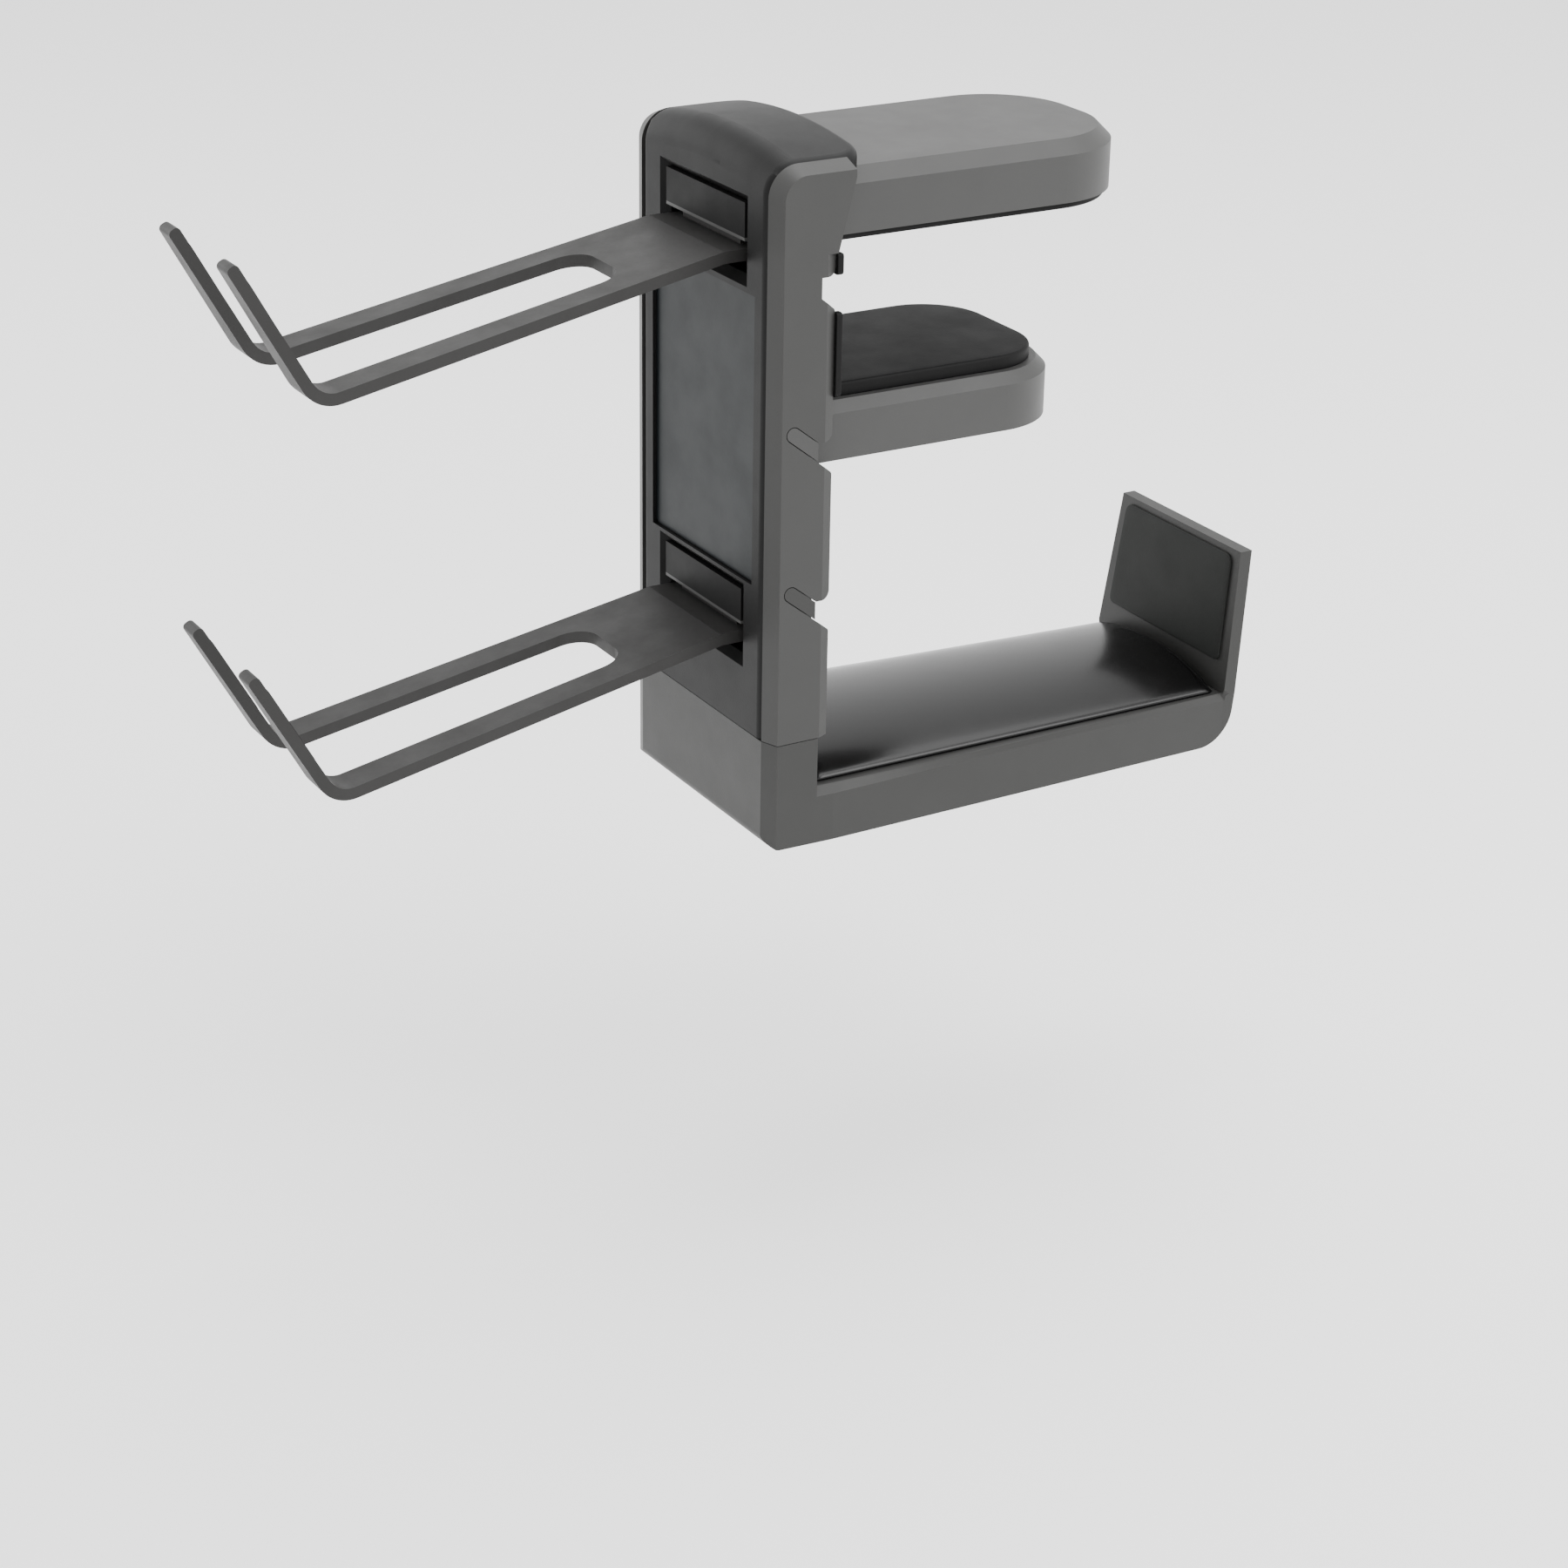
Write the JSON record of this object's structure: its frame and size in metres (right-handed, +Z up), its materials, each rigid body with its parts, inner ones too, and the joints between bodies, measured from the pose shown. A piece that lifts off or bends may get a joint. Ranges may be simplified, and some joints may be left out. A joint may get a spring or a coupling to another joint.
{
  "type": "desk-edge headphone and controller hanger",
  "caption": "Clamp-on desk-edge hanger: a dark post grips the desk with an arm and a sliding jaw, folding two-pronged forks hold controllers and a cushioned tray holds headphones.",
  "frame": {"origin": "underside of the upper arm's rubber, at the face of the desk edge, in the middle of the post's width", "axes": "+X across the post, +Y into the desk, +Z up; the desk's top surface is z = 0 and its edge face is y = 0"},
  "size_m": [0.083, 0.3244, 0.2054],
  "materials": {
    "black_plastic": "fine matte moulded texture",
    "panel_plastic": "smooth satin",
    "dark_plastic": "matte",
    "soft_rubber": "matte",
    "gloss_rubber": "glossy",
    "pin_steel": "satin",
    "screw_steel": "blackened",
    "trim_plastic": "matte"
  },
  "bodies": {
    "post": {"spine": "black_plastic", "front_cover": "black_plastic", "front_panel": "panel_plastic", "upper_pivot_box": "dark_plastic", "lower_pivot_box": "dark_plastic", "clamp_arm": "black_plastic", "clamp_arm_pad": "soft_rubber", "arm_screws": "screw_steel", "edge_bumpers": "soft_rubber", "cover_screws": "screw_steel", "hook_body": "black_plastic", "hook_screws": "screw_steel", "saddle_pad": "gloss_rubber", "hook_wall_pad": "soft_rubber", "upturn_pad": "soft_rubber", "upper_hinge_pin": "pin_steel", "lower_hinge_pin": "pin_steel", "upper_window_bar": "trim_plastic", "lower_window_bar": "trim_plastic"},
    "jaw_body": {"jaw": "black_plastic", "jaw_pad": "soft_rubber"},
    "upper_fork_body": {"upper_fork": "black_plastic", "upper_finger_pads": "soft_rubber"},
    "lower_fork_body": {"lower_fork": "black_plastic", "lower_finger_pads": "soft_rubber"}
  },
  "joints": [
    {"name": "jaw_slide", "type": "slide", "parent": "post", "child": "jaw_body", "axis": [0, 0.788, -0.6157], "range_m": [0, 0.008]},
    {"name": "upper_fork_fold", "type": "hinge", "parent": "post", "child": "upper_fork_body", "pos_m": [0, -0.016, 0.0004], "axis": [-1, 0, 0], "range_deg": [0, 25]},
    {"name": "lower_fork_fold", "type": "hinge", "parent": "post", "child": "lower_fork_body", "pos_m": [0, -0.016, -0.1111], "axis": [-1, 0, 0], "range_deg": [0, 25]}
  ]
}
